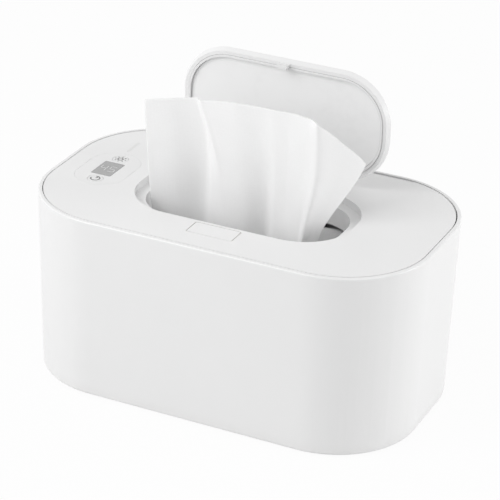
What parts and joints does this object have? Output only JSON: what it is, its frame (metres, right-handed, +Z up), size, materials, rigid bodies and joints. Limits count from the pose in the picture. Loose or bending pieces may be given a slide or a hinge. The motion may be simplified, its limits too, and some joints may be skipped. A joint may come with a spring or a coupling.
{
  "type": "baby wipe warmer",
  "caption": "Tabletop baby wipe warmer: tapered oval shell with a heated tub, flush cover hinged at the rear, spring-open flip lid over the mouth, control panel and a wipe pulled up through it.",
  "frame": {"origin": "middle of the footprint, on the surface that the feet stand on", "axes": "+Z up, -Y is the front with the latch button, +X is to the right of someone facing the front, so the control panel is at -X"},
  "size_m": [0.24, 0.146, 0.1845],
  "materials": {
    "white_shell": "satin white moulded plastic",
    "white_lid": "satin white moulded plastic",
    "base_plastic": "fine matt white moulded plastic",
    "tub_plastic": "smooth white moulded plastic",
    "soft_rubber": "matt pale grey silicone rubber",
    "foot_rubber": "matt grey rubber",
    "foam": "closed-cell foam, fine grain",
    "spreader_metal": "rolled sheet",
    "heater_film": "amber film, smooth",
    "cutoff_body": "ceramic-like, matt",
    "sensor_body": "black resin, smooth",
    "board": "green board, satin",
    "component_black": "black moulded, matt",
    "lead_sleeve": "woven sleeve, pale",
    "steel": "plain steel",
    "contact_metal": "bright",
    "label": "printed film, satin",
    "window_lens": "grey tinted window",
    "status_lens": "milky window",
    "key_plastic": "satin white",
    "wipe_cloth": "soft non-woven cloth, white"
  },
  "bodies": {
    "housing": {"outer_shell": "white_shell", "cover_hinge_pins": "steel", "base_cover": "base_plastic", "rubber_feet": "foot_rubber", "base_screws": "steel", "inner_tank": "tub_plastic", "tank_screws": "steel", "cover_gasket": "soft_rubber", "heat_spreader": "spreader_metal", "heater_film": "heater_film", "insulation_jacket": "foam", "insulation_pad": "foam", "thermal_cutoff": "cutoff_body", "temperature_sensor": "sensor_body", "control_board": "board", "board_components": "component_black", "dc_jack": "component_black", "jack_contact": "contact_metal", "heater_leads": "lead_sleeve", "wipe_stack": "wipe_cloth"},
    "cover": {"top_cover": "white_shell", "under_plate": "base_plastic", "under_plate_screws": "steel", "panel_overlay": "label", "display_window": "window_lens", "display_board": "board", "digit_module": "component_black", "key_switches": "component_black", "status_lens": "status_lens", "lid_hinge_pin": "steel", "lid_spring": "steel", "latch_spring": "steel", "wipe": "wipe_cloth"},
    "lid": {"flip_lid": "white_lid", "lid_liner": "white_lid", "lid_seal": "soft_rubber"},
    "latch_button": {"latch_button": "white_shell"},
    "latch_bolt": {"latch_bolt": "base_plastic"},
    "power_key": {"power_key": "key_plastic"},
    "heat_key": {"heat_key": "key_plastic"}
  },
  "joints": [
    {"name": "cover_hinge", "type": "hinge", "parent": "housing", "child": "cover", "pos_m": [0, 0.0706, 0.111], "axis": [-1, 0, 0], "range_deg": [0, 95]},
    {"name": "lid_hinge", "type": "hinge", "parent": "cover", "child": "lid", "pos_m": [0.0015, 0.0393, 0.106], "axis": [1, 0, 0], "range_deg": [0, 89], "stiffness_Nm_per_rad": 0.0135, "springref_deg": -17.19, "deforming": ["wipe", "lid_spring"]},
    {"name": "latch_button", "type": "slide", "parent": "cover", "child": "latch_button", "axis": [0, 0, -1], "range_m": [0, 0.0018], "stiffness_N_per_m": 600},
    {"name": "latch_bolt", "type": "slide", "parent": "cover", "child": "latch_bolt", "axis": [0, -1, 0], "range_m": [0, 0.0018], "deforming": ["latch_spring"]},
    {"name": "power_key", "type": "slide", "parent": "cover", "child": "power_key", "axis": [0, 0, -1], "range_m": [0, 0.0006], "stiffness_N_per_m": 600},
    {"name": "heat_key", "type": "slide", "parent": "cover", "child": "heat_key", "axis": [0, 0, -1], "range_m": [0, 0.0006], "stiffness_N_per_m": 600}
  ],
  "couplings": [
    {"joint": "latch_bolt", "follows": "latch_button", "ratio": 1}
  ]
}
